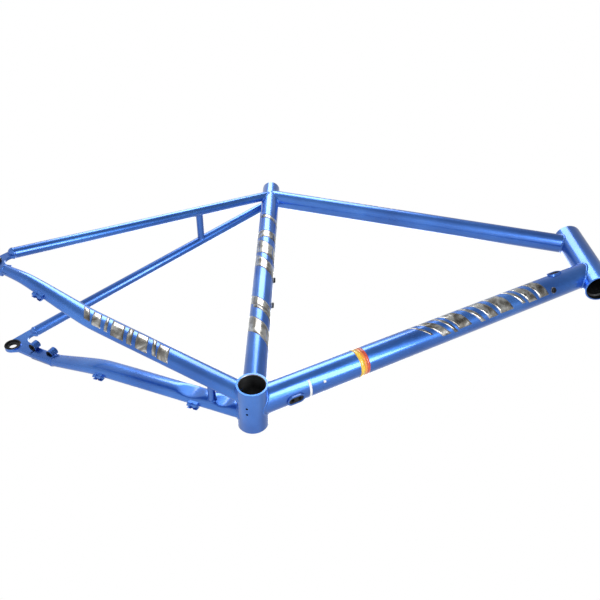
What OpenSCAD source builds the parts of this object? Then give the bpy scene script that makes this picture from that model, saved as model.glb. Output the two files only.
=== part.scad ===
// Steel bicycle frame for disc brakes: round main tubes and bent oval chainstays, welded together.
// X points forward, Y to the rider's left (the brake side) and Z up.
// The origin is the centre of the bottom bracket shell.

/* [Bottom bracket] */
// Length of the shell across the frame
bb_shell_length = 68; // [68:1:73]
// Outer diameter of the shell
bb_shell_od = 40; // [39:0.5:42]
// Inner diameter of the shell at the crests of its thread
bb_thread_bore = 33.8; // [33.6:0.1:34]

/* [Main tubes] */
// Angle of the seat tube above the horizontal
seat_angle = 73.5; // [73:0.5:74]
// Length of the seat tube from the bottom bracket centre to its top
seat_tube_length = 564; // [562:1:572]
// Outer diameter of the seat tube
seat_tube_od = 31.8; // [31.6:0.1:32]
// Diameter of the seatpost that the seat tube takes
seatpost_diameter = 27.2; // [27:0.1:27.4]
// Length of the reaming sleeve in the top of the seat tube
seat_sleeve_length = 110; // [90:5:120]
// Outer diameter of the top tube
top_tube_od = 31.4; // [28.6:0.2:31.4]
// Height of the top tube's axis on the seat tube, along the seat tube
top_tube_on_seat_tube = 529.5; // [520:0.5:532]
// Depth of the top tube's axis below the upper end of the head tube, along the head tube
top_tube_on_head_tube = 28; // [27:0.5:30]
// Outer diameter of the down tube
down_tube_od = 38.1; // [37:0.1:39]
// Height of the down tube's axis above the lower end of the head tube, along the head tube
down_tube_on_head_tube = 45; // [43:0.5:48]
// Wall thickness of the main tubes
main_wall = 0.9; // [0.8:0.1:1.2]

/* [Head tube] */
// Angle of the head tube above the horizontal
head_angle = 72; // [71.5:0.5:72.5]
// Distance of the head tube's upper end in front of the bottom bracket
reach = 392; // [388:1:396]
// Height of the head tube's upper end above the bottom bracket
stack = 549; // [546:1:552]
// Length of the head tube
head_tube_length = 154; // [152:1:158]
// Outer diameter of the head tube
head_tube_od = 46; // [45.5:0.5:47]
// Diameter of the bearing seat at each end of the head tube
bearing_bore = 41.9; // [41.7:0.1:42]
// Depth of each bearing seat
bearing_depth = 8; // [7:0.5:10]

/* [Rear end] */
// Distance of the rear axle behind the bottom bracket
axle_back = 415; // [414:0.5:416]
// Height of the rear axle above the bottom bracket
axle_up = 64; // [63.5:0.5:64.5]
// Distance between the inner faces that the rear hub rests on
hub_width = 142; // [141.8:0.1:142.2]
// Diameter of the through-axle
axle_diameter = 12; // [11.9:0.1:12.1]
// Thickness of each dropout plate
dropout_thickness = 4.5; // [4:0.5:6]
// Outer diameter of each seatstay
seatstay_od = 16; // [15.5:0.5:16.5]
// Height of each chainstay's oval section at its front
chainstay_height = 30; // [28:0.5:31]
// Height of each chainstay's section at its rear end
chainstay_rear_height = 15; // [14:0.5:16]
// Width of each chainstay's oval section at its front
chainstay_width = 17; // [16:0.5:17.5]
// Width of each chainstay's section at its rear end
chainstay_rear_width = 13; // [12:0.5:14]
// Wall thickness of the stays
stay_wall = 0.9; // [0.8:0.1:1.2]

/* [Brake mount] */
// Distance between the two brake posts
brake_post_spacing = 34; // [33.8:0.1:34.2]
// Outer diameter of each brake post
brake_post_od = 13; // [12:0.5:13.5]
// Height of each brake post
brake_post_height = 12; // [11:0.5:14]

/* [Bottle mounts] */
// Distance between the two screws of a bottle cage
bottle_spacing = 64; // [63.8:0.1:64.2]
// Height of the middle of the seat tube's bottle mount, along the tube
seat_tube_bottle_middle = 233; // [225:1:245]
// Height of the middle of the down tube's bottle mount, along the tube
down_tube_bottle_middle = 290; // [275:1:305]

/* [Hidden] */
$fn = 96;
paint = [0.25, 0.47, 0.80];
bare_metal = [0.62, 0.63, 0.65];
black = [0.06, 0.06, 0.07];
past = 60;        // how far a long cutting shape runs past the piece it cuts
over = 1;         // how far a short cutting shape runs past the face it opens

drive = -1;       // the chain side lies towards -Y
brake = 1;        // the brake side lies towards +Y

bb_r = bb_shell_od / 2;
seat_tube_r = seat_tube_od / 2;
top_tube_r = top_tube_od / 2;
down_tube_r = down_tube_od / 2;
head_tube_r = head_tube_od / 2;
bearing_r = bearing_bore / 2;
seatstay_r = seatstay_od / 2;

// Directions in the plane of the frame
function direction(angle) = [cos(angle), 0, sin(angle)];
function square_to(dir) = [dir[2], 0, -dir[0]];
function unit(v) = v / norm(v);
seat_dir = direction(180 - seat_angle);
seat_forward = square_to(seat_dir);
head_dir = direction(180 - head_angle);

// End points of the main tubes' axes
bb_centre = [0, 0, 0];
seat_top = seat_dir * seat_tube_length;
head_top = [reach, 0, stack];
head_bottom = head_top - head_dir * head_tube_length;
top_tube_back = seat_dir * top_tube_on_seat_tube;
top_tube_front = head_top - head_dir * top_tube_on_head_tube;
down_tube_front = head_bottom + head_dir * down_tube_on_head_tube;
down_dir = unit(down_tube_front);
down_under = square_to(down_dir);
axle = [-axle_back, 0, axle_up];

// Cylinder of radius r from point p to point q
module rod(p, q, r) {
    way = q - p;
    translate(p)
        rotate([0, acos(way[2] / norm(way)), atan2(way[1], way[0])])
            cylinder(h = norm(way), r = r);
}

// A slot with round ends, length l over all, drawn along X
module stadium(l, w) {
    square([l - w, w], center = true);
    for (side = [-1, 1]) translate([side * (l - w) / 2, 0]) circle(d = w);
}

// Places its children at p with Z along z_dir and X along x_dir, which are square to each other
module facing(p, z_dir, x_dir) {
    y_dir = cross(z_dir, x_dir);
    multmatrix([
        [x_dir[0], y_dir[0], z_dir[0], p[0]],
        [x_dir[1], y_dir[1], z_dir[1], p[1]],
        [x_dir[2], y_dir[2], z_dir[2], p[2]],
        [0, 0, 0, 1]
    ]) children();
}

// ---- Bottom bracket shell ----
bb_bore_r = bb_thread_bore / 2;
bb_chamfer = 0.8;
bb_screw_hole_r = 1.6;
bb_screw_holes_y = [-10, 0];

module bb_outside() rod([0, -bb_shell_length / 2, 0], [0, bb_shell_length / 2, 0], bb_r);

module bottom_bracket_shell() {
    color(paint)
        difference() {
            bb_outside();
            rod([0, -past, 0], [0, past, 0], bb_bore_r);
            for (side = [-1, 1])
                rotate([side * 90, 0, 0])
                    translate([0, 0, bb_shell_length / 2 - bb_chamfer])
                        cylinder(h = bb_chamfer * 2, r1 = bb_bore_r, r2 = bb_bore_r + 2 * bb_chamfer);
            for (y = bb_screw_holes_y) translate([0, y, -past]) cylinder(h = past, r = bb_screw_hole_r);
        }
}

// ---- Threaded inserts and screws for the bottle cages and the guide ----
insert_r = 3.5;
flange_r = 5;
flange_height = 1;
flange_depth = 3;                // reaches below the tube's surface, so the flange meets it all round
insert_length = 10;
screw_r = 2.5;
screw_length = 12;
screw_head_r = 4.25;
screw_head_height = 2.2;
screw_head_chamfer = 0.8;
hex_socket_r = 1.75;
hex_socket_depth = 1.4;

// The inserts below stand at the origin with Z out of a tube whose axis runs along X, tube_r below
module threaded_insert(tube_r) {
    difference() {
        union() {
            difference() {
                translate([0, 0, -flange_depth]) cylinder(h = flange_depth + flange_height, r = flange_r);
                translate([-past, 0, -tube_r]) rotate([0, 90, 0]) cylinder(h = 2 * past, r = tube_r);
            }
            translate([0, 0, -insert_length]) cylinder(h = insert_length, r = insert_r);
        }
        translate([0, 0, -insert_length - over])
            cylinder(h = insert_length + flange_height + 2 * over, r = screw_r);
    }
}

module insert_hole() translate([0, 0, -insert_length]) cylinder(h = 2 * insert_length, r = insert_r);

module cage_screw() {
    translate([0, 0, flange_height])
        difference() {
            union() {
                translate([0, 0, -screw_length]) cylinder(h = screw_length, r = screw_r);
                cylinder(h = screw_head_height - screw_head_chamfer, r = screw_head_r);
                translate([0, 0, screw_head_height - screw_head_chamfer])
                    cylinder(h = screw_head_chamfer, r1 = screw_head_r,
                        r2 = screw_head_r - screw_head_chamfer);
            }
            translate([0, 0, screw_head_height - hex_socket_depth])
                cylinder(h = past, r = hex_socket_r, $fn = 6);
        }
}

// Places its children on the front of the seat tube, at the two bottle screws
module on_seat_tube_bottle_mount() {
    for (side = [-1, 1])
        facing(seat_dir * (seat_tube_bottle_middle + side * bottle_spacing / 2)
            + seat_forward * seat_tube_r, seat_forward, seat_dir) children();
}

// Places its children on the upper side of the down tube, at the two bottle screws
module on_down_tube_bottle_mount() {
    for (side = [-1, 1])
        facing(down_dir * (down_tube_bottle_middle + side * bottle_spacing / 2)
            - down_under * down_tube_r, -down_under, down_dir) children();
}

module seat_tube_bottle_bosses() {
    color(bare_metal) on_seat_tube_bottle_mount() threaded_insert(seat_tube_r);
}

module seat_tube_bottle_screws() {
    color(black) on_seat_tube_bottle_mount() cage_screw();
}

module down_tube_bottle_bosses() {
    color(bare_metal) on_down_tube_bottle_mount() threaded_insert(down_tube_r);
}

module down_tube_bottle_screws() {
    color(black) on_down_tube_bottle_mount() cage_screw();
}

// ---- Seat tube ----
seat_slit = 2.4;
seat_slit_length = 34;
seat_slit_hole_r = 2.5;

module seat_outside() rod(bb_centre, seat_top, seat_tube_r);

// The slit in the back of the seat tube lets the clamp close it around the seatpost
module seat_slit_cut() {
    facing(seat_top - seat_dir * seat_slit_length, -seat_forward, seat_dir) {
        translate([0, -seat_slit / 2, 0]) cube([past, seat_slit, past]);
        cylinder(h = past, r = seat_slit_hole_r);
    }
}

module seat_tube() {
    color(paint)
        difference() {
            seat_outside();
            rod(bb_centre, seat_top + seat_dir, seat_tube_r - main_wall);
            bb_outside();
            seat_slit_cut();
            on_seat_tube_bottle_mount() insert_hole();
        }
}

module seat_tube_sleeve() {
    foot = seat_top - seat_dir * seat_sleeve_length;
    color(bare_metal)
        difference() {
            rod(foot, seat_top, seat_tube_r - main_wall);
            rod(foot - seat_dir, seat_top + seat_dir, seatpost_diameter / 2);
            seat_slit_cut();
        }
}

// ---- Head tube ----
seat_cone = 2;         // height and depth of the 45 degree seat below each bearing
lip_length = 6;        // length of the thick ring that holds each seat
head_wall = 2.6;       // wall between the two rings
rim_chamfer = 0.5;

module head_outside() rod(head_bottom, head_top, head_tube_r);

// Radius and height of each corner of the wall, from the middle's outside round to its inside
lip_end = bearing_depth + seat_cone + lip_length;
half_head_wall = [
    [head_tube_r, rim_chamfer],
    [head_tube_r - rim_chamfer, 0],
    [bearing_r, 0],
    [bearing_r, bearing_depth],
    [bearing_r - seat_cone, bearing_depth + seat_cone],
    [bearing_r - seat_cone, lip_end],
    [head_tube_r - head_wall, lip_end + seat_cone]
];
function upside_down(points) =
    [for (i = [len(points) - 1 : -1 : 0]) [points[i][0], head_tube_length - points[i][1]]];

module head_tube() {
    color(paint)
        translate(head_bottom)
            rotate([0, head_angle - 90, 0])
                rotate_extrude() polygon(concat(half_head_wall, upside_down(half_head_wall)));
}

// ---- Top tube ----
module top_tube() {
    color(paint)
        difference() {
            rod(top_tube_back, top_tube_front, top_tube_r);
            rod(top_tube_back, top_tube_front, top_tube_r - main_wall);
            seat_outside();
            head_outside();
        }
}

// ---- Cable ports in the down tube ----
lower_port_at = 52;          // distance from the bottom bracket along the tube
upper_port_at = 538;
upper_port_turn = 62;        // degrees from the tube's upper side towards the drive side
lower_port_turn = 180;
port_length = 21;
port_width = 9.5;
port_rim = 2.4;
port_height = 1.8;
port_depth = 6;
grommet_depth = 3;
grommet_height = 1.3;
cable_hole_r = 2.5;
cable_hole_spacing = 10.5;
guide_boss_at = 512;
guide_boss_turn = 148;

// Outward direction on the down tube, turned from its upper side towards the drive side
function down_out(turn) = -down_under * cos(turn) + [0, -1, 0] * sin(turn);

module on_down_tube(at, turn) {
    facing(down_dir * at + down_out(turn) * down_tube_r, down_out(turn), down_dir) children();
}

module port_rim() {
    difference() {
        translate([0, 0, -port_depth])
            linear_extrude(port_depth + port_height)
                stadium(port_length + 2 * port_rim, port_width + 2 * port_rim);
        port_hole();
        translate([-past, 0, -down_tube_r]) rotate([0, 90, 0]) cylinder(h = 2 * past, r = down_tube_r);
    }
}

module port_hole() {
    translate([0, 0, -port_depth])
        linear_extrude(2 * port_depth) stadium(port_length, port_width);
}

module port_grommet() {
    difference() {
        translate([0, 0, -grommet_depth])
            linear_extrude(grommet_depth + grommet_height) stadium(port_length, port_width);
        for (side = [-1, 1])
            translate([side * cable_hole_spacing / 2, 0, -past]) cylinder(h = 2 * past, r = cable_hole_r);
    }
}

module lower_port_rim() color(paint) on_down_tube(lower_port_at, lower_port_turn) port_rim();
module lower_port_grommet() color(black) on_down_tube(lower_port_at, lower_port_turn) port_grommet();
module upper_port_rim() color(paint) on_down_tube(upper_port_at, upper_port_turn) port_rim();
module upper_port_grommet() color(black) on_down_tube(upper_port_at, upper_port_turn) port_grommet();

module guide_boss() {
    color(bare_metal) on_down_tube(guide_boss_at, guide_boss_turn) threaded_insert(down_tube_r);
}

module guide_boss_screw() {
    color(black) on_down_tube(guide_boss_at, guide_boss_turn) cage_screw();
}

// ---- Down tube ----
module down_tube() {
    color(paint)
        difference() {
            rod(bb_centre, down_tube_front, down_tube_r);
            rod(bb_centre, down_tube_front, down_tube_r - main_wall);
            bb_outside();
            seat_outside();
            head_outside();
            on_down_tube_bottle_mount() insert_hole();
            on_down_tube(lower_port_at, lower_port_turn) port_hole();
            on_down_tube(upper_port_at, upper_port_turn) port_hole();
            on_down_tube(guide_boss_at, guide_boss_turn) insert_hole();
        }
}

// ---- Chainstays ----
// Each stay leaves the shell, splays out slowly past the tyre, bends out again towards the
// dropout, and bends back parallel to the hub.  s is the distance behind the bottom bracket.
stay_start_z = -1.8;
stay_rise = 0.168;
stay_start_y = 14;
front_splay = 0.127;
middle_splay = 0.305;
rear_splay = 0.03;
first_bend = 248;
second_bend = 352;
bend_ease = 14;
section_tapers_from = 235;
taper_power = 1.25;
drive_stay_end = 386;
brake_stay_end = 335;
ring_step = 16;
ring_sides = 28;
stay_from = 6;               // inside the shell, which cuts the stay's front end to fit
hollow_from = 2;
stay_end_cap = 3;

function eased(u) = (u + sqrt(u * u + bend_ease * bend_ease)) / 2;
function eased_slope(u) = (1 + u / sqrt(u * u + bend_ease * bend_ease)) / 2;
function stay_y(s) = stay_start_y + front_splay * s
    + (middle_splay - front_splay) * eased(s - first_bend)
    + (rear_splay - middle_splay) * eased(s - second_bend);
function stay_splay(s) = front_splay
    + (middle_splay - front_splay) * eased_slope(s - first_bend)
    + (rear_splay - middle_splay) * eased_slope(s - second_bend);
function stay_z(s) = stay_start_z + stay_rise * s;
function stay_at(s, hand) = [-s, hand * stay_y(s), stay_z(s)];
stay_up = unit([stay_rise, 0, 1]);
stay_back = unit([-1, 0, stay_rise]);
function taper(s) =
    max(0, (s - section_tapers_from) / (drive_stay_end - section_tapers_from)) ^ taper_power;
function half_height(s) = (chainstay_height + (chainstay_rear_height - chainstay_height) * taper(s)) / 2;
function half_width(s) = (chainstay_width + (chainstay_rear_width - chainstay_width) * taper(s)) / 2;
function stay_ring(s, hand, inset) =
    let (along = unit([-1, hand * stay_splay(s), stay_rise]))
    let (out = unit(cross(along, stay_up)))
    [for (i = [0 : ring_sides - 1])
        let (turn = 360 * i / ring_sides)
        stay_at(s, hand) + out * (half_width(s) - inset) * cos(turn)
            + stay_up * (half_height(s) - inset) * sin(turn)];

// The stay as one closed sweep of rings, from s = from to s = to, inset from its outside
module stay_sweep(hand, from, to, inset) {
    rings = ceil((to - from) / ring_step);
    points = [for (k = [0 : rings]) each stay_ring(from + (to - from) * k / rings, hand, inset)];
    walls = [for (k = [0 : rings - 1], i = [0 : ring_sides - 1])
        let (a = k * ring_sides + i)
        let (b = k * ring_sides + (i + 1) % ring_sides)
        [a, b, b + ring_sides, a + ring_sides]];
    first_cap = [for (i = [0 : ring_sides - 1]) ring_sides - 1 - i];
    last_cap = [for (i = [0 : ring_sides - 1]) rings * ring_sides + i];
    polyhedron(points, concat([first_cap], walls, [last_cap]), convexity = 6);
}

module chainstay(hand, end) {
    color(paint)
        difference() {
            stay_sweep(hand, stay_from, end + ring_step, 0);
            stay_sweep(hand, hollow_from, end - stay_end_cap, stay_wall);
            bb_outside();
            seat_outside();
            translate([-end - past, -past * 3, -past]) cube([past, past * 6, past * 4]);
        }
}

module chainstay_drive() chainstay(drive, drive_stay_end);
module chainstay_brake() chainstay(brake, brake_stay_end);

// ---- Seatstays ----
brake_seatstay_foot = [-405.5, 74.5, 104];
seatstay_head = [-153.5, 9, 500];
seatstay_end_cap = 3;

function seatstay_foot(hand) =
    [brake_seatstay_foot[0], hand * brake_seatstay_foot[1], brake_seatstay_foot[2]];
function seatstay_top(hand) = [seatstay_head[0], hand * seatstay_head[1], seatstay_head[2]];
function seatstay_dir(hand) = unit(seatstay_top(hand) - seatstay_foot(hand));

module seatstay_outside(hand) rod(seatstay_foot(hand), seatstay_top(hand), seatstay_r);

module seatstay(hand) {
    color(paint)
        difference() {
            seatstay_outside(hand);
            rod(seatstay_foot(hand) + seatstay_dir(hand) * seatstay_end_cap,
                seatstay_top(hand) + seatstay_dir(hand) * over, seatstay_r - stay_wall);
            seat_outside();
        }
}

module seatstay_drive() seatstay(drive);
module seatstay_brake() seatstay(brake);

// ---- Bridges ----
chainstay_bridge_at = 57;
chainstay_bridge_z = 3;
chainstay_bridge_r = 5;
seatstay_bridge_at = [-235, 0, 372];
seatstay_bridge_r = 6;
seatstay_bridge_half = 30;
bridge_wall = 1.2;
bridge_margin = 25;          // length of stay, either way of the bridge, that cuts its ends to fit

module chainstay_bridge() {
    reach_y = stay_y(chainstay_bridge_at);
    end = [-chainstay_bridge_at, reach_y, chainstay_bridge_z];
    start = [-chainstay_bridge_at, -reach_y, chainstay_bridge_z];
    color(paint)
        difference() {
            rod(start, end, chainstay_bridge_r);
            rod(start, end, chainstay_bridge_r - bridge_wall);
            for (hand = [drive, brake])
                stay_sweep(hand, chainstay_bridge_at - bridge_margin,
                    chainstay_bridge_at + bridge_margin, 0);
        }
}

module seatstay_bridge() {
    half = [0, seatstay_bridge_half, 0];
    color(paint)
        difference() {
            rod(seatstay_bridge_at - half, seatstay_bridge_at + half, seatstay_bridge_r);
            rod(seatstay_bridge_at - half, seatstay_bridge_at + half, seatstay_bridge_r - bridge_wall);
            for (hand = [drive, brake]) seatstay_outside(hand);
        }
}

// ---- Brake posts ----
rear_post_foot = [-377.5, 63.5, 61];
brake_screw_r = 2.75;

function post_foot(index) = rear_post_foot - stay_back * brake_post_spacing * index;

module post_outside(index) {
    rod(post_foot(index), post_foot(index) + stay_up * brake_post_height, brake_post_od / 2);
}

module brake_post(index) {
    color(paint)
        difference() {
            post_outside(index);
            rod(post_foot(index) - stay_up * over,
                post_foot(index) + stay_up * (brake_post_height + over), brake_screw_r);
        }
}

module brake_post_rear() brake_post(0);
module brake_post_front() brake_post(1);

// ---- Dropouts ----
boss_r = 12;
boss_height = 1.5;
hub_recess_r = 9.7;
axle_thread_r = 5.3;
axle_clearance = 0.05;
notch_r = 12;
notch_at = [23.5, 25];          // from the axle
notch_lip = [31, 8];            // from the axle, where the notch ends on the chainstay's side
waist = [14, -7];               // from the axle, where the lower edge dips in behind the boss
arm_half_width = 7.5;
arm_tip = [2, 3];               // how far the arm reaches past the seatstay's foot
arm_meets_boss = 158;           // degrees round the boss, from the front over its top
waist_meets_boss = -60;
inner_face = hub_width / 2;
outer_face = inner_face + dropout_thickness;
block_back = 374;               // distance of the block's rear end behind the bottom bracket
block_half_height = 9;
block_width = 8;
block_inset = 2;                // how far the block reaches inboard of the hub's face

// Extrudes a side view, drawn in X and Z, from depth_in to depth_out on one side of the frame
module side_plate(hand, depth_in, depth_out) {
    translate([0, hand > 0 ? depth_out : -depth_in, 0])
        rotate([90, 0, 0])
            linear_extrude(depth_out - depth_in) children();
}

// Side view of a dropout plate: a ring around the axle, an arm up to the seatstay, and a body
// whose front edge at front_x meets the chainstay between front_top and front_bottom
module dropout_outline(front_x, front_top, front_bottom) {
    foot = [brake_seatstay_foot[0], brake_seatstay_foot[2]];
    across = [-seatstay_dir(brake)[2], seatstay_dir(brake)[0]] * arm_half_width;
    axle_xz = [axle[0], axle[2]];
    difference() {
        union() {
            translate(axle_xz) circle(r = boss_r);
            polygon([
                axle_xz + boss_r * [cos(arm_meets_boss), sin(arm_meets_boss)],
                foot + across + arm_tip,
                foot - across + arm_tip,
                axle_xz + notch_lip,
                [front_x, front_top],
                [front_x, front_bottom],
                axle_xz + waist,
                axle_xz + boss_r * [cos(waist_meets_boss), sin(waist_meets_boss)]
            ]);
        }
        translate(axle_xz + notch_at) circle(r = notch_r);
    }
}

// The hub's end cap drops into a round recess, and the through-axle passes its middle
module axle_boss(hand) {
    side_plate(hand, inner_face - boss_height, inner_face)
        difference() {
            translate([axle[0], axle[2]]) circle(r = boss_r);
            translate([axle[0], axle[2]]) circle(r = hub_recess_r);
        }
}

module beyond_seatstay_foot(hand) {
    rod(seatstay_foot(hand), seatstay_foot(hand) + seatstay_dir(hand) * past, past / 2);
}

module dropout_drive() {
    front_z = stay_z(drive_stay_end);
    half = half_height(drive_stay_end);
    color(paint)
        difference() {
            union() {
                side_plate(drive, inner_face, outer_face)
                    dropout_outline(-drive_stay_end, front_z + half, front_z - half);
                axle_boss(drive);
                side_plate(drive, outer_face, outer_face + hanger_thickness)
                    translate([axle[0], axle[2]]) circle(r = hanger_axle_r);
            }
            rod(axle - [0, past * 2, 0], axle, axle_thread_r);
            beyond_seatstay_foot(drive);
            stay_sweep(drive, drive_stay_end - ring_step, drive_stay_end, 0);
            on_hanger_screws() cylinder(h = past, r = hanger_screw_r, center = true);
        }
}

// The brake side's plate carries a solid block that reaches forward to the shorter chainstay
module dropout_brake() {
    block_z = stay_z(block_back);
    color(paint)
        difference() {
            union() {
                side_plate(brake, inner_face, outer_face)
                    dropout_outline(-block_back, block_z + block_half_height, block_z - block_half_height);
                axle_boss(brake);
                hull() {
                    translate([-block_back - over, inner_face - block_inset, block_z - block_half_height])
                        cube([over, block_width, 2 * block_half_height]);
                    intersection() {
                        stay_sweep(brake, brake_stay_end - ring_step, brake_stay_end + ring_step, 0);
                        translate([-brake_stay_end - over, 0, 0]) cube([over, past * 2, past * 2]);
                    }
                }
            }
            rod(axle, axle + [0, past * 2, 0], axle_diameter / 2 + axle_clearance);
            beyond_seatstay_foot(brake);
            for (index = [0, 1]) post_outside(index);
        }
}

// ---- Derailleur hanger ----
hanger_thickness = 3;
hanger_hole = [-6, -28];         // from the axle
hanger_pad_r = 9.5;
hanger_pad_thickness = 8;
hanger_pad_inset = 4;            // how far the pad reaches inboard of the dropout's outer face
hanger_ring_r = 12.5;
hanger_axle_r = 7;
hanger_thread_r = 4.5;
hanger_ear_r = 4.5;
hanger_screw_r = 1.6;
hanger_screw_depth = 6;
hanger_screw_head_r = 3;
hanger_screw_head_height = 1.6;
hanger_screw_socket_r = 1.2;
hanger_screw_socket_depth = 1;
front_ear = [16, -2];            // from the axle
upper_ear = [5, 17];
hanger_screw_places = [front_ear, upper_ear];

module on_hanger_screws() {
    for (place = hanger_screw_places)
        translate([axle[0] + place[0], -outer_face, axle[2] + place[1]])
            rotate([90, 0, 0]) children();
}

// Side view of the thin web that joins the ring, the screws and the pad
module hanger_web() {
    translate([axle[0], axle[2]]) {
        circle(r = hanger_ring_r);
        translate(hanger_hole) circle(r = hanger_pad_r);
        polygon([[-hanger_ring_r, 0], [hanger_ring_r, 0], hanger_hole + [hanger_pad_r, 0],
            hanger_hole - [hanger_pad_r, 0]]);
        for (place = hanger_screw_places) translate(place) circle(r = hanger_ear_r);
        polygon([[0, hanger_ring_r], [0, -hanger_ring_r], front_ear - [0, hanger_ear_r],
            front_ear + [0, hanger_ear_r]]);
        polygon([[-hanger_ring_r, 0], [hanger_ring_r, 0], upper_ear + [hanger_ear_r, 0],
            upper_ear - [hanger_ear_r, 0]]);
    }
}

module derailleur_hanger() {
    color(black)
        difference() {
            union() {
                side_plate(drive, outer_face, outer_face + hanger_thickness) hanger_web();
                side_plate(drive, outer_face - hanger_pad_inset,
                    outer_face - hanger_pad_inset + hanger_pad_thickness)
                    translate([axle[0] + hanger_hole[0], axle[2] + hanger_hole[1]])
                        circle(r = hanger_pad_r);
            }
            rod(axle - [0, past * 2, 0], axle, hanger_axle_r);
            translate([axle[0] + hanger_hole[0], 0, axle[2] + hanger_hole[1]])
                rotate([90, 0, 0]) cylinder(h = past * 2, r = hanger_thread_r);
            on_hanger_screws() cylinder(h = past, r = hanger_screw_r, center = true);
        }
}

module hanger_screws() {
    color(bare_metal)
        on_hanger_screws()
            difference() {
                union() {
                    translate([0, 0, -hanger_screw_depth])
                        cylinder(h = hanger_screw_depth + hanger_thickness, r = hanger_screw_r);
                    translate([0, 0, hanger_thickness])
                        cylinder(h = hanger_screw_head_height, r = hanger_screw_head_r);
                }
                translate([0, 0, hanger_thickness + hanger_screw_head_height - hanger_screw_socket_depth])
                    cylinder(h = past, r = hanger_screw_socket_r, $fn = 6);
            }
}

// ---- Hose and cable guides under the chainstays ----
guide_length = 14;
guide_r = 4.4;
guide_channel_r = 2.3;
guide_slot = 3.4;
guide_stand_off = 3;
guide_foot = 4;              // how far the guide's foot reaches into the stay's curve before it is cut
channel_rise = 0.6;
tie_groove = 4;
tie_groove_depth = 1.2;
tie_groove_from = 0.6;       // the groove starts this far above the guide's middle, on the stay's side
front_guide_at = 78;
rear_guide_at = 235;
drive_guide_at = 317;
stay_margin = 40;            // length of stay, either way of a guide, that cuts its foot to fit

// One open guide under a stay, s behind the bottom bracket
module stay_guide(hand, s) {
    along = unit([-1, hand * stay_splay(s), stay_rise]);
    level = unit(along - stay_up * (along * stay_up));
    middle = stay_at(s, hand) - stay_up * (half_height(s) + guide_stand_off);
    facing(middle, -stay_up, level)
        difference() {
            union() {
                translate([-guide_length / 2, 0, 0])
                    rotate([0, 90, 0]) cylinder(h = guide_length, r = guide_r);
                translate([-guide_length / 2, -guide_r, -guide_stand_off - guide_foot])
                    cube([guide_length, 2 * guide_r, guide_stand_off + guide_foot]);
            }
            translate([-past, 0, channel_rise])
                rotate([0, 90, 0]) cylinder(h = 2 * past, r = guide_channel_r);
            translate([-past, -guide_slot / 2, channel_rise]) cube([2 * past, guide_slot, past]);
            difference() {
                translate([-tie_groove / 2, -past, -tie_groove_from])
                    cube([tie_groove, 2 * past, past]);
                translate([-past, 0, 0])
                    rotate([0, 90, 0]) cylinder(h = 2 * past, r = guide_r - tie_groove_depth);
            }
        }
}

module clear_of_stay(hand, s) {
    color(paint)
        difference() {
            stay_guide(hand, s);
            stay_sweep(hand, s - stay_margin, s + stay_margin, 0);
        }
}

module hose_guide_front() clear_of_stay(brake, front_guide_at);
module hose_guide_rear() clear_of_stay(brake, rear_guide_at);
module cable_guide_drive() clear_of_stay(drive, drive_guide_at);

bottom_bracket_shell();
seat_tube();
seat_tube_sleeve();
top_tube();
down_tube();
head_tube();
chainstay_drive();
chainstay_brake();
seatstay_drive();
seatstay_brake();
chainstay_bridge();
seatstay_bridge();
dropout_drive();
dropout_brake();
derailleur_hanger();
hanger_screws();
brake_post_front();
brake_post_rear();
seat_tube_bottle_bosses();
seat_tube_bottle_screws();
down_tube_bottle_bosses();
down_tube_bottle_screws();
lower_port_rim();
lower_port_grommet();
upper_port_rim();
upper_port_grommet();
guide_boss();
guide_boss_screw();
hose_guide_front();
hose_guide_rear();
cable_guide_drive();
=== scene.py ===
import bmesh
import bpy
import math
from mathutils import Matrix, Vector


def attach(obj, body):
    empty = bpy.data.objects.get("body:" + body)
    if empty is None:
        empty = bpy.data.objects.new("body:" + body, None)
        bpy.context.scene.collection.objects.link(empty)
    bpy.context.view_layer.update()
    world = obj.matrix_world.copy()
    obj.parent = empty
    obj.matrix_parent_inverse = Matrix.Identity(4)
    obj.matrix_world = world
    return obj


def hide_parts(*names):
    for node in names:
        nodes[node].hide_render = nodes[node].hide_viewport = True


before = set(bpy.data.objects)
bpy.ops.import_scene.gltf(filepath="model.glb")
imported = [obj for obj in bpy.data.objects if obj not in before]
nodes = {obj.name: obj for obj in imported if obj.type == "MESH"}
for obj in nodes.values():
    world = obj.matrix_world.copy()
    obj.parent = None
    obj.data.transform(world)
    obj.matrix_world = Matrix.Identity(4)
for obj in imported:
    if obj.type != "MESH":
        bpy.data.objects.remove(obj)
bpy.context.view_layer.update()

# ---- Bottom bracket shell ----
# A short, thick steel tube across the bottom of the frame, which every lower tube is welded to.
# Its bore is tapped from both ends, and after painting the chamfers are cut back to bare metal.
hands = ((-1, "drive"), (1, "brake"))
shell_r = 0.020
shell_half = 0.034
shell_bore_r = 0.0169
shell_chamfer_r = 0.0178
shell_chamfer_depth = 0.0009
shell_thread_pitch = 0.00125
shell_thread_depth = 0.0005
shell_thread_length = 0.024


def start_finish(name, metallic, roughness):
    """A new material, its node tree and its shader."""
    finish = bpy.data.materials.new(name)
    finish.use_nodes = True
    shader = finish.node_tree.nodes["Principled BSDF"]
    shader.inputs["Metallic"].default_value = metallic
    shader.inputs["Roughness"].default_value = roughness
    return finish, finish.node_tree, shader


def texture(tree, kind, scale, **settings):
    """A texture node laid out in the frame's own metres."""
    node = tree.nodes.new("ShaderNodeTex" + kind)
    place = tree.nodes.get("place")
    if place is None:
        place = tree.nodes.new("ShaderNodeTexCoord")
        place.name = "place"
    tree.links.new(place.outputs["Object"], node.inputs["Vector"])
    node.inputs["Scale"].default_value = scale
    for socket, value in settings.items():
        node.inputs[socket].default_value = value
    return node


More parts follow.
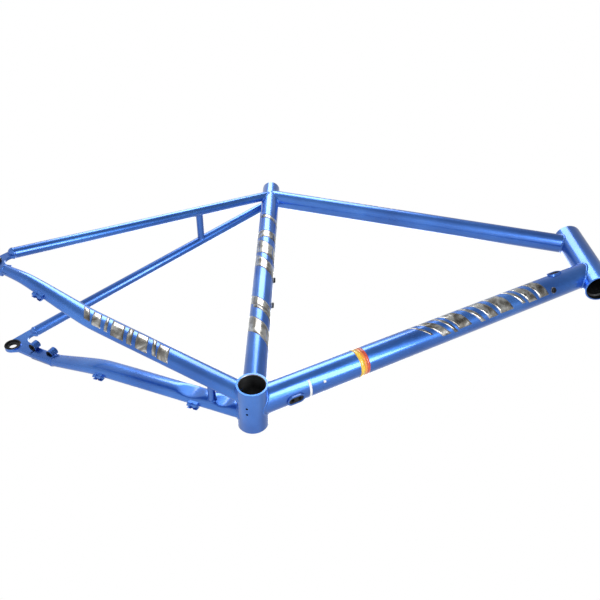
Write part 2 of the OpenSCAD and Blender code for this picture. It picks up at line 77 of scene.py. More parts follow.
def shades(tree, value, stops):
    """Turns a value into a colour by the stops (position, colour)."""
    ramp = tree.nodes.new("ShaderNodeValToRGB")
    while len(ramp.color_ramp.elements) < len(stops):
        ramp.color_ramp.elements.new(0.5)
    for element, (position, colour) in zip(ramp.color_ramp.elements, stops):
        element.position = position
        element.color = (*colour, 1)
    tree.links.new(value, ramp.inputs["Fac"])
    return ramp.outputs["Color"]


def mixed(tree, amount, first, second):
    """Two colours mixed, with that amount of the second."""
    mix = tree.nodes.new("ShaderNodeMix")
    mix.data_type = "RGBA"
    mix.inputs["Factor"].default_value = amount
    tree.links.new(first, mix.inputs["A"])
    tree.links.new(second, mix.inputs["B"])
    return mix.outputs["Result"]


def spread(tree, value, low, high):
    """A value from 0 to 1 spread over low to high."""
    span = tree.nodes.new("ShaderNodeMapRange")
    span.inputs["To Min"].default_value = low
    span.inputs["To Max"].default_value = high
    tree.links.new(value, span.inputs["Value"])
    return span.outputs["Result"]


def raised(tree, value, height):
    """A bump of that height in metres."""
    bump = tree.nodes.new("ShaderNodeBump")
    bump.inputs["Distance"].default_value = height
    bump.inputs["Strength"].default_value = 1.0
    tree.links.new(value, bump.inputs["Height"])
    return bump.outputs["Normal"]


def metallic_paint(name, deep, middle, bright):
    """Fine metallic flake in the base coat under a glossy clear coat with a little orange peel."""
    finish, tree, shader = start_finish(name, 0.85, 0.3)
    flake = texture(tree, "Voronoi", 2600.0)
    cloud = texture(tree, "Noise", 9.0, Detail=3.0)
    base = shades(tree, cloud.outputs["Fac"], [(0.3, deep), (0.5, middle), (0.72, bright)])
    sparkle = shades(tree, flake.outputs["Color"], [(0.1, deep), (0.62, middle), (1.0, bright)])
    tree.links.new(mixed(tree, 0.25, base, sparkle), shader.inputs["Base Color"])
    rub = texture(tree, "Noise", 70.0, Detail=4.0)
    tree.links.new(spread(tree, rub.outputs["Fac"], 0.24, 0.38), shader.inputs["Roughness"])
    tree.links.new(raised(tree, flake.outputs["Distance"], 0.000002), shader.inputs["Normal"])
    peel = texture(tree, "Noise", 420.0, Detail=1.0)
    tree.links.new(raised(tree, peel.outputs["Fac"], 0.000003), shader.inputs["Coat Normal"])
    shader.inputs["Coat Weight"].default_value = 0.7
    shader.inputs["Coat Roughness"].default_value = 0.09
    shader.inputs["Coat IOR"].default_value = 1.5
    return finish


def worked_metal(name, dark, light, roughness, grain=900.0, stretch=(1, 1, 1)):
    """Bare metal with tool marks, small stains and uneven shine."""
    finish, tree, shader = start_finish(name, 1.0, roughness)
    stain = texture(tree, "Noise", 45.0, Detail=6.0)
    tree.links.new(shades(tree, stain.outputs["Fac"], [(0.3, dark), (0.7, light)]),
                   shader.inputs["Base Color"])
    marks = texture(tree, "Noise", grain, Detail=3.0)
    place = tree.nodes.new("ShaderNodeMapping")
    place.inputs["Scale"].default_value = stretch
    tree.links.new(tree.nodes["place"].outputs["Object"], place.inputs["Vector"])
    tree.links.new(place.outputs["Vector"], marks.inputs["Vector"])
    tree.links.new(spread(tree, marks.outputs["Fac"], roughness * 0.75, roughness * 1.35),
                   shader.inputs["Roughness"])
    tree.links.new(raised(tree, marks.outputs["Fac"], 0.00002), shader.inputs["Normal"])
    return finish


blue_paint = metallic_paint("blue_metallic_paint", (0.028, 0.11, 0.42), (0.042, 0.16, 0.56),
                            (0.085, 0.27, 0.78))
faced_steel = worked_metal("faced_steel", (0.20, 0.21, 0.24), (0.38, 0.40, 0.44), 0.36)
# Bare steel for bores, threads and recesses, its colour darkened to near black as painted shade in
# the hollows
bore_steel_painted_shade = worked_metal("painted_shade_dark_steel", (0.012, 0.012, 0.013), (0.05, 0.05, 0.052), 0.55)


def add_piece(name, skin, finish, slot, *stands_for):
    """A smooth-shaded piece of the frame, shown in place of the nodes named last."""
    mesh = bpy.data.meshes.new(name)
    bmesh.ops.recalc_face_normals(skin, faces=skin.faces)
    skin.to_mesh(mesh)
    skin.free()
    mesh.materials.append(finish)
    mesh.polygons.foreach_set("use_smooth", [True] * len(mesh.polygons))
    piece = bpy.data.objects.new(name, mesh)
    bpy.context.scene.collection.objects.link(piece)
    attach(piece, "root")
    if stands_for:
        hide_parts(*stands_for)
    return piece


def loft(rings, capped=True, joined=False):
    """Skin over a row of closed rings. Joined ties the last ring back to the first."""
    skin = bmesh.new()
    rows = [[skin.verts.new(point) for point in ring] for ring in rings]
    pairs = list(zip(rows, rows[1:]))
    if joined:
        pairs.append((rows[-1], rows[0]))
    for near, far in pairs:
        for i in range(len(near)):
            j = (i + 1) % len(near)
            skin.faces.new((near[i], near[j], far[j], far[i]))
    if capped and not joined:
        for row in (rows[0], rows[-1]):
            middle = skin.verts.new(sum((v.co for v in row), Vector()) / len(row))
            for i in range(len(row)):
                skin.faces.new((row[i], row[(i + 1) % len(row)], middle))
    return skin


def paint_all(name, finish):
    """Gives a whole node one finish."""
    nodes[name].data.materials.clear()
    nodes[name].data.materials.append(finish)


def second_finish(thing, finish, belongs):
    """Gives another finish to the faces whose centre and normal pass the test."""
    thing.data.materials.append(finish)
    index = len(thing.data.materials) - 1
    for face in thing.data.polygons:
        if belongs(face.center, face.normal):
            face.material_index = index


def off_axis(point, start, way):
    """Distance of a point from the line through start."""
    return (point - start).cross(way).length


def tapped_thread(name, mouth, inward, r, length, pitch, depth):
    """Ridges of a tapped thread, standing in from a bore's wall, from its mouth inwards."""
    across = inward.orthogonal().normalized()
    over = inward.cross(across)
    per_turn = 60
    per_pitch = 6
    rings = []
    count = int(length / pitch) * per_pitch
    for k in range(count + 1):
        ring = []
        fade = min(1, k / per_pitch, (count - k) / per_pitch)
        for i in range(per_turn):
            phase = (k / per_pitch + i / per_turn) % 1
            crest = 1 - abs(2 * phase - 1)
            turn = 2 * math.pi * i / per_turn
            crest_r = r - depth * crest * fade
            ring.append(mouth + inward * (length * k / count)
                        + (across * math.cos(turn) + over * math.sin(turn)) * crest_r)
        rings.append(ring)
    skirt = 0.0002
    for row, point in ((0, mouth), (-1, mouth + inward * length)):
        outer = [p + (p - point).normalized() * skirt for p in rings[row]]
        rings = [outer] + rings if row == 0 else rings + [outer]
    # The thread takes the bore steel, darkened to near black as painted shade
    return add_piece(name, loft(rings, capped=False, joined=True), bore_steel_painted_shade, "bare_steel")


shell = nodes["bottom_bracket_shell"]
bore_mouth = shell_half - shell_chamfer_depth
paint_all("bottom_bracket_shell", blue_paint)
second_finish(shell, faced_steel,
              lambda at, out: abs(at.y) > bore_mouth and at.xz.length < shell_chamfer_r)
# The bore's inside takes the bore steel, darkened to near black as painted shade
second_finish(shell, bore_steel_painted_shade,
              lambda at, out: at.xz.length < shell_r - 0.0001 and abs(at.y) < bore_mouth)
for hand, side in hands:
    tapped_thread("shell_thread_" + side, Vector((0, hand * bore_mouth, 0)),
                  Vector((0, -hand, 0)), shell_bore_r - 0.00002, shell_thread_length,
                  shell_thread_pitch, shell_thread_depth)

# ---- Main tubes ----
# Straight round steel tubes, mitred at their ends to sit on the tubes they meet. They are
# joined by welds and painted with the rest of the frame in one go.
seat_angle = math.radians(73.5)
head_angle = math.radians(72)
reach = 0.392
stack = 0.549
seat_tube_length = 0.564
head_tube_length = 0.154
top_tube_up_seat_tube = 0.5295
top_tube_below_head = 0.028
down_tube_up_head_tube = 0.045
seat_tube_r = 0.0159
top_tube_r = 0.0157
down_tube_r = 0.01905
head_tube_r = 0.023
tube_wall = 0.0009

seat_way = Vector((-math.cos(seat_angle), 0, math.sin(seat_angle)))
head_way = Vector((-math.cos(head_angle), 0, math.sin(head_angle)))
head_tube_top = Vector((reach, 0, stack))
head_tube_foot = head_tube_top - head_way * head_tube_length
down_tube_front = head_tube_foot + head_way * down_tube_up_head_tube
top_tube_back = seat_way * top_tube_up_seat_tube
top_tube_front = head_tube_top - head_way * top_tube_below_head
shell_centre = Vector((0, 0, 0))
# A line is a tube's two ends and its radius
shell_line = (Vector((0, -shell_half, 0)), Vector((0, shell_half, 0)), shell_r)
seat_line = (shell_centre, seat_way * seat_tube_length, seat_tube_r)
top_line = (top_tube_back, top_tube_front, top_tube_r)
down_line = (shell_centre, down_tube_front, down_tube_r)
head_line = (head_tube_foot, head_tube_top, head_tube_r)

for name in ("seat_tube", "top_tube", "down_tube", "head_tube"):
    paint_all(name, blue_paint)
# The insides of the seat and down tubes take the bore steel, darkened to near black as painted
# shade
for name, (start, end, r) in (("seat_tube", seat_line), ("down_tube", down_line)):
    second_finish(nodes[name], bore_steel_painted_shade, lambda at, out, start=start, end=end, r=r:
                  off_axis(at, start, (end - start).normalized()) < r - tube_wall / 2)

# ---- Head tube ----
# A thick steel tube, turned inside each end to seat a headset bearing. Paint covers the outside
# and the two end faces, and the inside is bare steel, darkened to near black as painted shade.
head_tube_paint = 0.0004
head_tube_rim = 0.0005
second_finish(nodes["head_tube"], bore_steel_painted_shade,
              lambda at, out: off_axis(at, head_tube_foot, head_way) < head_tube_r - head_tube_paint
              and head_tube_rim < (at - head_tube_foot).dot(head_way)
              < head_tube_length - head_tube_rim)

# ---- Reaming sleeve ----
# A second, shorter steel tube brazed inside the top of the seat tube. It is reamed to the
# seatpost's size after brazing, which leaves long bright tool marks.
paint_all("seat_tube_sleeve", worked_metal("reamed_steel", (0.30, 0.30, 0.31), (0.55, 0.55, 0.56),
                                           0.36, 1500.0, (1, 1, 0.1)))


# ---- Chainstays ----
# Tubes from the shell to the dropouts, rolled to an oval at the front, bent out past the tyre
# and back again at the hub, and dented on the inside for the tyre and the chainrings.
def eased_bend(past, ease=14.0):
    """Nothing before a bend and the distance past it after, with a smooth change between."""
    return (past + math.sqrt(past * past + ease * ease)) / 2


# Millimetres. A bend is how far back it is and how much it turns the stay outwards
stay_start_y = 14
stay_start_z = -1.8
stay_rise = 0.168
stay_spread = 0.127
stay_bends = ((248, 0.178), (352, -0.275))
stay_front = (17, 30)
stay_thinner = (4, 15)
taper_start = 235
taper_length = 151
# A dent is how far back its middle is, half its length and its depth
stay_dents = ((90, 21, 3.2), (40, 13, 2.6))
dent_edge = 0.7
stay_up = Vector((stay_rise, 0, 1)).normalized()


def stay_centre(hand, s):
    """Middle of a chainstay, s millimetres behind the shell's middle, in millimetres."""
    y = stay_start_y + stay_spread * s
    for start, turn_out in stay_bends:
        y += turn_out * eased_bend(s - start)
    return Vector((-s, hand * y, stay_start_z + stay_rise * s))


def stay_way(hand, s):
    """The way a chainstay runs at s."""
    return stay_centre(hand, s + 1) - stay_centre(hand, s - 1)


def stay_side(hand, s, turn, proud=0.0):
    """Point on a chainstay's surface. Turn is 0 towards +Y and a quarter turn upwards."""
    across = stay_way(hand, s).cross(stay_up).normalized()
    taper = max(0, (s - taper_start) / taper_length) ** 1.25
    half_width = (stay_front[0] - stay_thinner[0] * taper) / 2 + proud
    half_height = (stay_front[1] - stay_thinner[1] * taper) / 2 + proud
    wide = half_width * math.cos(turn)
    for middle, half_length, depth in stay_dents:
        left_in = half_width - depth * (1 - ((s - middle) / half_length) ** 2)
        over = -hand * wide - left_in
        wide += hand * (over + math.sqrt(over * over + dent_edge * dent_edge) - dent_edge) / 2
    point = stay_centre(hand, s) + across * wide + stay_up * half_height * math.sin(turn)
    return point * 0.001


def inside(point, bodies):
    """Whether a point lies in any of the round bodies (start, end, radius)."""
    for start, end, r in bodies:
        way = end - start
        share = (point - start).dot(way) / way.length_squared
        if 0 <= share <= 1 and (point - start - way * share).length < r:
            return True
    return False


def mitre(side, start, stop, bodies):
    """How far a tube's side runs, from start towards stop, before it meets one of the bodies."""
    steps = 80
    for k in range(steps):
        far = start + (stop - start) * (k + 1) / steps
        if inside(side(far), bodies):
            near = start + (stop - start) * k / steps
            for _ in range(24):
                middle = (near + far) / 2
                if inside(side(middle), bodies):
                    far = middle
                else:
                    near = middle
            return near
    return stop


stay_sides = 56
stay_turns = [2 * math.pi * i / stay_sides for i in range(stay_sides)]
stay_ends = {"drive": 386, "brake": 335}
stay_domes = {"drive": 5.0, "brake": 1.0}
stay_rows = 120
dome_rows = 6
# Where along the stay the search for the shell's surface starts and stops
shell_search = (60, 5)
for hand, side in hands:
    end = stay_ends[side]
    fronts = [mitre(lambda s, turn=turn: stay_side(hand, s, turn), *shell_search, [shell_line])
              for turn in stay_turns]
    rings = []
    for k in range(stay_rows + 1):
        rings.append([stay_side(hand, front + (end - front) * k / stay_rows, turn)
                      for front, turn in zip(fronts, stay_turns)])
    end_core = stay_centre(hand, end) * 0.001
    end_ring = rings[-1]
    for k in range(1, dome_rows):
        lift = k / dome_rows
        shrink = math.sqrt(1 - lift * lift)
        core = stay_centre(hand, end + stay_domes[side] * lift) * 0.001
        rings.append([core + (point - end_core) * shrink for point in end_ring])
    add_piece("chainstay_" + side + "_tube", loft(rings), blue_paint, "frame_paint",
              "chainstay_" + side)

# ---- Seatstays ----
# Straight thin tubes from the top of the seat tube to the dropouts, with a domed end and a
# ring of braze where the dropout's arm is let into the foot.
seatstay_foot = Vector((-0.4055, 0.0745, 0.104))
seatstay_top = Vector((-0.1535, 0.009, 0.5))
seatstay_r = 0.008
seatstay_sides = 48
# The end's outline, as how far up the stay and the radius there
seatstay_end = ((-0.0050, 0.0005), (-0.0047, 0.0030), (-0.0038, 0.0052), (-0.0022, 0.0070),
                (-0.0006, 0.0079), (0.0002, 0.0083), (0.0012, 0.0086), (0.0022, 0.0084),
                (0.0031, 0.0080), (0.0033, 0.0072))


def round_ring(core, across, over, r, count):
    """Points of a circle round a core, from across towards over."""
    turns = [2 * math.pi * i / count for i in range(count)]
    return [core + (across * math.cos(turn) + over * math.sin(turn)) * r for turn in turns]


def handed(point, hand):
    """A point of the brake side, or its twin on the drive side."""
    return Vector((point.x, hand * point.y, point.z))


for hand, side in hands:
    paint_all("seatstay_" + side, blue_paint)
    foot = handed(seatstay_foot, hand)
    way = (handed(seatstay_top, hand) - foot).normalized()
    across = way.orthogonal().normalized()
    over = way.cross(across)
    rings = [round_ring(foot + way * lift, across, over, r, seatstay_sides)
             for lift, r in seatstay_end]
    add_piece("seatstay_end_" + side, loft(rings), blue_paint, "frame_paint")

# ---- Bridges ----
# Two short round steel tubes, one between the chainstays and one between the seatstays. They
# stiffen the rear of the frame, and their ends are coped and brazed to the stays.
bridge_back = 0.057
bridge_up = 0.003
bridge_r = 0.005
seatstay_bridge_half = 0.03
seatstay_bridge = (Vector((-0.235, -seatstay_bridge_half, 0.372)),
                   Vector((-0.235, seatstay_bridge_half, 0.372)), 0.006)
for name in ("chainstay_bridge", "seatstay_bridge"):
    paint_all(name, blue_paint)


# ---- Welds ----
# Every joint is filled all round with a small weld bead, laid in short even steps and painted
# over with the rest of the frame.
def tube_side(line):
    """The side of a round tube: a point for each distance and turn. Turn 0 faces the drive side."""
    start, end, r = line
    way = (end - start).normalized()
    across = Vector((0, -1, 0))
    across = across - way * across.dot(way)
    if across.length < 0.1:
        across = Vector((0, 0, 1))
    across.normalize()
    over = way.cross(across)

    def side(along, turn, proud=0.0):
        return start + way * along + (across * math.cos(turn) + over * math.sin(turn)) * (r + proud)
    return side


def bead_ring(point, out, wide, height, half_width, sunk=0.0002):
    """The oval section of a bead at a point, its middle sunk a little under the surface."""
    count = 12
    return [point + out * (height * math.cos(2 * math.pi * j / count) - sunk)
            + wide * (half_width * math.sin(2 * math.pi * j / count)) for j in range(count)]


def weld_bead(name, side, start, stop, bodies, half_width=0.0022, height=0.0013):
    """A bead round the edge where a tube, walked from start to stop, meets the bodies."""
    turns = 140
    touching = 0.0004
    step = 0.00045
    ripple = 0.0019
    path = []
    for i in range(turns):
        turn = 2 * math.pi * i / turns
        at = mitre(lambda along: side(along, turn), start, stop, bodies)
        point = side(at, turn)
        out = (point - side(at, turn + math.pi)).normalized()
        for body_start, body_end, r in bodies:
            way = (body_end - body_start).normalized()
            foot = body_start + way * (point - body_start).dot(way)
            if abs((point - foot).length - r) < touching:
                out = out + (point - foot).normalized()
        path.append((point, out.normalized()))
    length = [0.0]
    for i in range(turns):
        length.append(length[-1] + (path[(i + 1) % turns][0] - path[i][0]).length)
    count = max(60, int(length[-1] / step))
    ripples = round(length[-1] / ripple)
    rings = []
    i = 0
    for k in range(count):
        target = length[-1] * k / count
        while length[i + 1] < target:
            i += 1
        share = (target - length[i]) / max(1e-9, length[i + 1] - length[i])
        here, there = path[i], path[(i + 1) % turns]
        point = here[0].lerp(there[0], share)
        out = here[1].lerp(there[1], share).normalized()
        way = (there[0] - here[0]).normalized()
        wide = way.cross(out).normalized()
        phase = (ripples * k / count) % 1
        swell = 1 + 0.22 * (1 - abs(2 * phase - 1)) ** 0.6 - 0.1
        rings.append(bead_ring(point, out, wide, height * swell,
                               half_width * (0.94 + 0.06 * swell)))
    return add_piece(name, loft(rings, joined=True), blue_paint, "frame_paint")


weld_bead("weld_seat_tube_shell", tube_side(seat_line), 0.06, 0.0, [shell_line])
weld_bead("weld_down_tube_shell", tube_side(down_line), 0.08, 0.0, [shell_line, seat_line])
weld_bead("weld_top_tube_seat_tube", tube_side(top_line), 0.06, 0.0, [seat_line])
weld_bead("weld_top_tube_head_tube", tube_side(top_line), 0.48,
          (top_tube_front - top_tube_back).length, [head_line])
weld_bead("weld_down_tube_head_tube", tube_side(down_line), 0.54, down_tube_front.length,
          [head_line])
for hand, side in hands:
    stay_line = (handed(seatstay_foot, hand), handed(seatstay_top, hand), seatstay_r)
    weld_bead("weld_seatstay_" + side, tube_side(stay_line), 0.43,
              (stay_line[1] - stay_line[0]).length, [seat_line], 0.0018, 0.0011)
    weld_bead("weld_chainstay_" + side,
              lambda s, turn, hand=hand: stay_side(hand, s, turn), *shell_search, [shell_line])
    weld_bead("weld_seatstay_bridge_" + side, tube_side(seatstay_bridge), seatstay_bridge_half,
              seatstay_bridge_half * (1 + hand), [stay_line], 0.0014, 0.0009)

    # The fillet at the dropout end of the chainstay
    end = stay_ends[side]
    core = stay_centre(hand, end) * 0.001
    way = stay_way(hand, end).normalized()
    rings = []
    for i, turn in enumerate(stay_turns):
        point = stay_side(hand, end, turn)
        swell = 1 + 0.12 * math.sin(2 * math.pi * i / 3.5)
        rings.append(bead_ring(point, (point - core).normalized(), way, 0.0011 * swell, 0.0018))
    add_piece("weld_chainstay_end_" + side, loft(rings, joined=True), blue_paint, "frame_paint")

    # The fillet where the chainstay bridge meets the inner wall of the chainstay
    bridge_turns = 40
    half_wide = stay_front[0] / 2
    half_tall = stay_front[1] / 2
    rings = []
    for i in range(bridge_turns):
        turn = 2 * math.pi * i / bridge_turns
        x = -bridge_back + bridge_r * math.cos(turn)
        z = bridge_up + bridge_r * math.sin(turn)
        middle = stay_centre(hand, -x * 1000)
        rise = (z * 1000 - middle.z) / half_tall
        wall = abs(middle.y) - half_wide * math.sqrt(max(0.05, 1 - rise * rise))
        out = Vector((math.cos(turn), -hand * 0.9, math.sin(turn))).normalized()
        wide = Vector((math.cos(turn), hand * 1.1, math.sin(turn))).normalized()
        swell = 1 + 0.15 * math.sin(2 * math.pi * i / 4)
        rings.append(bead_ring(Vector((x, hand * wall * 0.001, z)), out, wide, 0.0011 * swell,
                               0.0016, 0))
    add_piece("weld_chainstay_bridge_" + side, loft(rings, joined=True), blue_paint,
              "frame_paint")


# ---- Dropouts, hanger and brake posts ----
# Thick steel plates cut to shape with their edges broken, each with a turned recess for the hub.
# The recesses and the brake posts' bores and undersides are bare steel, darkened as painted shade.
# The hanger is a black alloy plate held by two screws, so that it can be changed when bent.
def broken_edges(node, name, finish, slot, width, segments=3, angle=34):
    """A copy of a node with its sharp edges rounded, shown in its place."""
    copy = bmesh.new()
    copy.from_mesh(nodes[node].data)
    bmesh.ops.remove_doubles(copy, verts=copy.verts, dist=0.00002)
    bmesh.ops.dissolve_limit(copy, angle_limit=math.radians(0.6), verts=copy.verts,
                             edges=copy.edges)
    sharp = [edge for edge in copy.edges
             if len(edge.link_faces) == 2 and edge.calc_face_angle() > math.radians(angle)]
    bmesh.ops.bevel(copy, geom=sharp, offset=width, segments=segments, profile=0.5,
                    affect="EDGES", clamp_overlap=True)
    piece = add_piece(name, copy, finish, slot, node)
    even = piece.modifiers.new("even_shading", "WEIGHTED_NORMAL")
    even.weight = 100
    even.keep_sharp = False
    return piece


axle = Vector((-0.415, 0, 0.064))
along_axle = Vector((0, 1, 0))
recess_r = 0.0117
recess_floor = 0.0754
for hand, side in hands:
    plate = broken_edges("dropout_" + side, "dropout_plate_" + side, blue_paint, "frame_paint",
                         0.0007)
    # The hub recess takes the bore steel, darkened to near black as painted shade
    second_finish(plate, bore_steel_painted_shade, lambda at, out:
                  off_axis(at, axle, along_axle) < recess_r and abs(at.y) < recess_floor)
black_anodised = worked_metal("black_anodised", (0.018, 0.018, 0.02), (0.04, 0.04, 0.045), 0.42)
broken_edges("derailleur_hanger", "hanger_plate", black_anodised, "black_alloy", 0.0005)
hanger_bore_mouth = Vector((-0.421, -0.0797, 0.036))
hanger_bore_r = 0.00448
tapped_thread("hanger_thread", hanger_bore_mouth, along_axle, hanger_bore_r, 0.0072, 0.001, 0.0004)
stainless = worked_metal("stainless", (0.42, 0.42, 0.43), (0.7, 0.7, 0.7), 0.25, 1400.0)
broken_edges("hanger_screws", "hanger_screw_heads", stainless, "hanger_screws", 0.00025, 2)
post_feet = {"front": Vector((-0.34397, 0.0635, 0.05537)), "rear": Vector((-0.3775, 0.0635, 0.061))}
post_shaded_bore_r = 0.0045
for place, foot in post_feet.items():
    post = broken_edges("brake_post_" + place, "post_" + place, blue_paint, "frame_paint", 0.0005)
    # The bore and the downward faces take the bore steel, darkened to near black as painted shade
    second_finish(post, bore_steel_painted_shade, lambda at, out, foot=foot:
                  off_axis(at, foot, stay_up) < post_shaded_bore_r or out.dot(stay_up) < -0.9)

# ---- Ports, grommets, guides and screws ----
# Small fittings: brazed rims with rubber grommets where the hoses go in, brazed saddles under
# the chainstays, and threaded steel inserts with button head screws.
grommet_rubber, tree, shader = start_finish("grommet_rubber", 0.0, 0.6)
speck = texture(tree, "Noise", 300.0, Detail=5.0)
tree.links.new(shades(tree, speck.outputs["Fac"], [(0.3, (0.008, 0.008, 0.008)),
                                                   (0.75, (0.022, 0.022, 0.022))]),
               shader.inputs["Base Color"])
tree.links.new(spread(tree, speck.outputs["Fac"], 0.45, 0.75), shader.inputs["Roughness"])
tree.links.new(raised(tree, speck.outputs["Fac"], 0.00004), shader.inputs["Normal"])
shader.inputs["Specular IOR Level"].default_value = 0.2
black_oxide = worked_metal("black_oxide", (0.012, 0.012, 0.013), (0.045, 0.045, 0.05), 0.38,
                           1200.0)
for place in ("lower", "upper"):
    broken_edges(place + "_port_rim", place + "_port_collar", blue_paint, "frame_paint", 0.0005)
    broken_edges(place + "_port_grommet", place + "_port_plug", grommet_rubber,
                 "grommet_rubber", 0.0004)
for guide in ("hose_guide_front", "hose_guide_rear", "cable_guide_drive"):
    broken_edges(guide, guide + "_saddle", blue_paint, "frame_paint", 0.0004, 2)
for place in ("seat_tube_bottle", "down_tube_bottle"):
    broken_edges(place + "_bosses", place + "_inserts", faced_steel, "bare_steel", 0.0003, 2)
    broken_edges(place + "_screws", place + "_screw_set", black_oxide, "black_screws", 0.0004)
broken_edges("guide_boss", "guide_insert", faced_steel, "bare_steel", 0.0003, 2)
broken_edges("guide_boss_screw", "guide_screw", black_oxide, "black_screws", 0.0004)

# ---- Graphics ----
# Thin silver foil and coloured films, cut to plain slanted bars and bands. They are laid on
# the painted tubes and sealed by the clear coat.
foil, tree, shader = start_finish("silver_foil_painted_reflection", 0.9, 0.22)
# The foil's colour is mottled by noise from near black to pale grey, as painted reflection of dark
# and light surroundings
foil_painted_reflection = texture(tree, "Noise", 55.0, Detail=2.0, Distortion=0.6)
tree.links.new(shades(tree, foil_painted_reflection.outputs["Fac"], [
    (0.28, (0.04, 0.037, 0.033)), (0.40, (0.15, 0.135, 0.115)), (0.50, (0.29, 0.275, 0.25)),
    (0.60, (0.58, 0.57, 0.54)), (0.74, (0.19, 0.175, 0.155))]), shader.inputs["Base Color"])
crinkle = texture(tree, "Noise", 140.0, Detail=3.0)
tree.links.new(raised(tree, crinkle.outputs["Fac"], 0.0001), shader.inputs["Normal"])
tree.links.new(spread(tree, crinkle.outputs["Fac"], 0.15, 0.32), shader.inputs["Roughness"])
shader.inputs["Coat Weight"].default_value = 1.0
shader.inputs["Coat Roughness"].default_value = 0.04


def film(name, side, bars, finish):
    """Thin film on a tube's side. A bar: its start along the tube and its width in millimetres,
    the turns it runs between in degrees, and how far it leans along the tube between them."""
    sheet = bmesh.new()
    for start, width, low, high, slant in bars:
        across = max(2, int((high - low) / 6))
        along = max(2, int(width / 3))
        rows = []
        for i in range(along + 1):
            near_end = start + width * i / along
            rows.append([sheet.verts.new(side(near_end + slant * j / across,
                                              low + (high - low) * j / across))
                         for j in range(across + 1)])
        for near, far in zip(rows, rows[1:]):
            for j in range(across):
                sheet.faces.new((near[j], near[j + 1], far[j + 1], far[j]))
    piece = add_piece(name, sheet, finish, "frame_paint")
    gauge = piece.modifiers.new("film_thickness", "SOLIDIFY")
    gauge.thickness = 0.00008
    gauge.offset = -1
    return piece


def film_side(line):
    """A tube's side in millimetres and degrees, a hair above the paint."""
    side = tube_side(line)
    return lambda along, turn: side(along * 0.001, math.radians(turn), 0.00014)


def stay_film_side(hand):
    """A chainstay's side in millimetres and degrees, a hair above the paint."""
    return lambda s, turn: stay_side(hand, s, math.radians(turn), 0.14)


film("foil_down_tube", film_side(down_line), [
    (246, 5, -38, 46, 26), (262, 15, -38, 70, 30), (288, 6, -38, 74, 26),
    (302, 24, -38, 66, 20), (338, 8, -34, 74, 26), (357, 18, -38, 72, 22),
    (386, 26, -38, 70, 16), (424, 7, -38, 64, 22), (440, 17, -34, 72, 20),
    (468, 20, -38, 70, 14)], foil)
film("foil_seat_tube", film_side(seat_line), [
    (440, 13, -60, 88, -26), (376, 22, -84, 88, -16), (334, 36, -74, 88, -36),
    (300, 28, -84, 88, -48), (198, 20, -84, 88, -40), (181, 9, -40, 88, -30),
    (137, 34, -84, 88, -44)], foil)
film("foil_chainstay", stay_film_side(-1), [
    (124, 16, 152, 246, -10), (146, 6, 140, 240, -14), (157, 18, 146, 246, -12),
    (181, 8, 140, 244, -12), (194, 20, 146, 242, -12), (220, 5, 140, 236, -12),
    (231, 14, 148, 234, -12), (251, 10, 150, 222, -14)], foil)


def flat_film(name, colour, dark):
    """Printed film: an even colour with slight fading, under the clear coat."""
    finish, tree, shader = start_finish(name, 0.0, 0.35)
    fade = texture(tree, "Noise", 120.0, Detail=3.0)
    tree.links.new(shades(tree, fade.outputs["Fac"], [(0.3, dark), (0.7, colour)]),
                   shader.inputs["Base Color"])
    tree.links.new(spread(tree, fade.outputs["Fac"], 0.25, 0.45), shader.inputs["Roughness"])
    tree.links.new(raised(tree, fade.outputs["Fac"], 0.00003), shader.inputs["Normal"])
    shader.inputs["Coat Weight"].default_value = 1.0
    shader.inputs["Coat Roughness"].default_value = 0.05
    return finish


yellow_film = flat_film("yellow_film", (0.83, 0.55, 0.04), (0.66, 0.40, 0.02))
orange_film = flat_film("orange_film", (0.80, 0.26, 0.02), (0.64, 0.18, 0.015))
red_film = flat_film("red_film", (0.60, 0.07, 0.02), (0.44, 0.04, 0.015))
white_film = flat_film("white_film", (0.88, 0.88, 0.86), (0.74, 0.75, 0.75))
for name, start, width, finish in (("band_yellow", 152.4, 6.4, yellow_film),
                                   ("band_orange", 158.8, 3.7, orange_film),
                                   ("band_red", 162.5, 4.5, red_film)):
    film(name, film_side(down_line), [(start, width, -180, 180, 0)], finish)
film("bar_down_tube", film_side(down_line), [(73, 3.6, 34, 112, 0)], white_film)
film("dot_down_tube", film_side(down_line), [(94.2, 3.6, 58, 68, 0)], white_film)
marks = [(84 + i * 11, 3 + (i * 5) % 7, -14, -8, 1) for i in range(15)]
film("marks_top_tube", film_side(top_line), marks, white_film)

# ---- Floor, lights and camera ----
# Plain pale floor well below the frame, large soft studio lights in a white room, and the
# camera, which looks up from below the floor. So the floor is clear when seen from beneath.
floor_half = 30.0
floor_level = -0.276
floor_mesh = bpy.data.meshes.new("floor")
floor_mesh.from_pydata([(x * floor_half, y * floor_half, floor_level)
                        for x, y in ((-1, -1), (1, -1), (1, 1), (-1, 1))], [], [(0, 1, 2, 3)])
floor = bpy.data.objects.new("floor", floor_mesh)
bpy.context.scene.collection.objects.link(floor)
pale, tree, shader = start_finish("pale_floor", 0.0, 0.6)
shader.inputs["Base Color"].default_value = (0.74, 0.74, 0.74, 1)
shader.inputs["Emission Color"].default_value = (1, 1, 1, 1)
shader.inputs["Emission Strength"].default_value = 0.14
facing = tree.nodes.new("ShaderNodeNewGeometry")
clear = tree.nodes.new("ShaderNodeBsdfTransparent")
either = tree.nodes.new("ShaderNodeMixShader")
tree.links.new(facing.outputs["Backfacing"], either.inputs[0])
tree.links.new(shader.outputs[0], either.inputs[1])
tree.links.new(clear.outputs[0], either.inputs[2])
tree.links.new(either.outputs[0], tree.nodes["Material Output"].inputs["Surface"])
floor_mesh.materials.append(pale)

frame_middle = Vector((0.05, 0, 0.28))


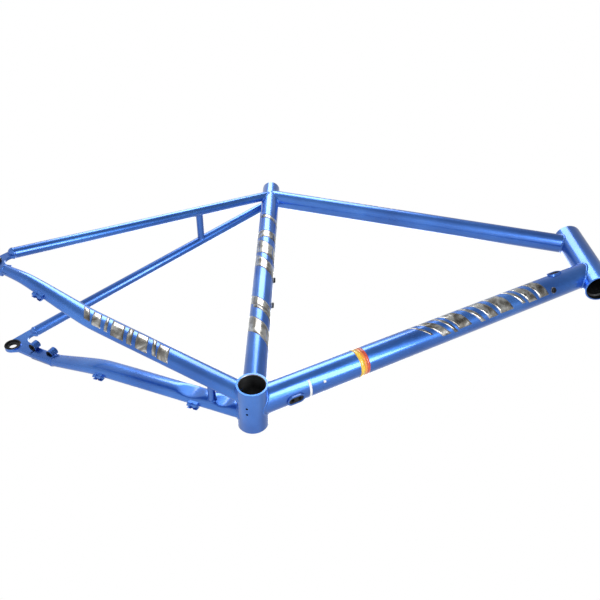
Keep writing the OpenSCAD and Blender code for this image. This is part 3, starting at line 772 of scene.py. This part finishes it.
def soft_light(name, toward, distance, width, height, watts):
    """A rectangular soft box that lies that way from the frame and faces it."""
    lamp = bpy.data.lights.new(name, "AREA")
    lamp.shape = "RECTANGLE"
    lamp.size = width
    lamp.size_y = height
    lamp.energy = watts
    box = bpy.data.objects.new(name, lamp)
    toward = Vector(toward).normalized()
    box.location = frame_middle + toward * distance
    box.rotation_euler = toward.to_track_quat("Z", "Y").to_euler()
    box.visible_camera = False
    bpy.context.scene.collection.objects.link(box)


soft_light("side_box", (0.77, -0.55, -0.41), 1.0, 0.8, 0.26, 6.5)
soft_light("top_box", (-0.35, -0.56, 0.75), 2.2, 1.3, 1.0, 24)
soft_light("far_box", (-0.2, 0.75, 0.62), 2.4, 1.6, 1.6, 20)

# The room is white to the eye and lights the frame a little less from its darker front corner
dark_corner = (0.81, -0.56, 0.16)
room_light = 0.78
dark_corner_light = 0.22
world = bpy.data.worlds.new("studio")
bpy.context.scene.world = world
world.use_nodes = True
sky = world.node_tree
backdrop = sky.nodes["Background"]
backdrop.inputs["Color"].default_value = (1, 1, 1, 1)
backdrop.inputs["Strength"].default_value = 1.0
room = sky.nodes.new("ShaderNodeBackground")
room.inputs["Color"].default_value = (0.95, 0.98, 1.0, 1)
way = sky.nodes.new("ShaderNodeTexCoord")
toward_dark = sky.nodes.new("ShaderNodeVectorMath")
toward_dark.operation = "DOT_PRODUCT"
toward_dark.inputs[1].default_value = dark_corner
sky.links.new(way.outputs["Generated"], toward_dark.inputs[0])
fall = sky.nodes.new("ShaderNodeMapRange")
fall.inputs["From Min"].default_value = -0.3
fall.inputs["From Max"].default_value = 1.0
fall.inputs["To Min"].default_value = room_light
fall.inputs["To Max"].default_value = dark_corner_light
sky.links.new(toward_dark.outputs["Value"], fall.inputs["Value"])
sky.links.new(fall.outputs["Result"], room.inputs["Strength"])
seen = sky.nodes.new("ShaderNodeLightPath")
choose = sky.nodes.new("ShaderNodeMixShader")
sky.links.new(seen.outputs["Is Camera Ray"], choose.inputs[0])
sky.links.new(room.outputs[0], choose.inputs[1])
sky.links.new(backdrop.outputs[0], choose.inputs[2])
sky.links.new(choose.outputs[0], sky.nodes["World Output"].inputs["Surface"])

lens = bpy.data.cameras.new("camera")
lens.lens = 39.75
lens.sensor_width = 36
lens.shift_x = -0.0141
lens.shift_y = -0.0176
camera = bpy.data.objects.new("camera", lens)
right = Vector((0.9594, -0.0288, 0.2806))
up = Vector((-0.1904, -0.8, 0.569))
back = right.cross(up).normalized()
up = back.cross(right).normalized()
right.normalize()
camera.matrix_world = Matrix((right, up, back)).transposed().to_4x4()
camera.location = (0.21414, -0.61828, -0.54449)
bpy.context.scene.collection.objects.link(camera)
bpy.context.scene.camera = camera
bpy.context.scene.view_settings.view_transform = "Standard"
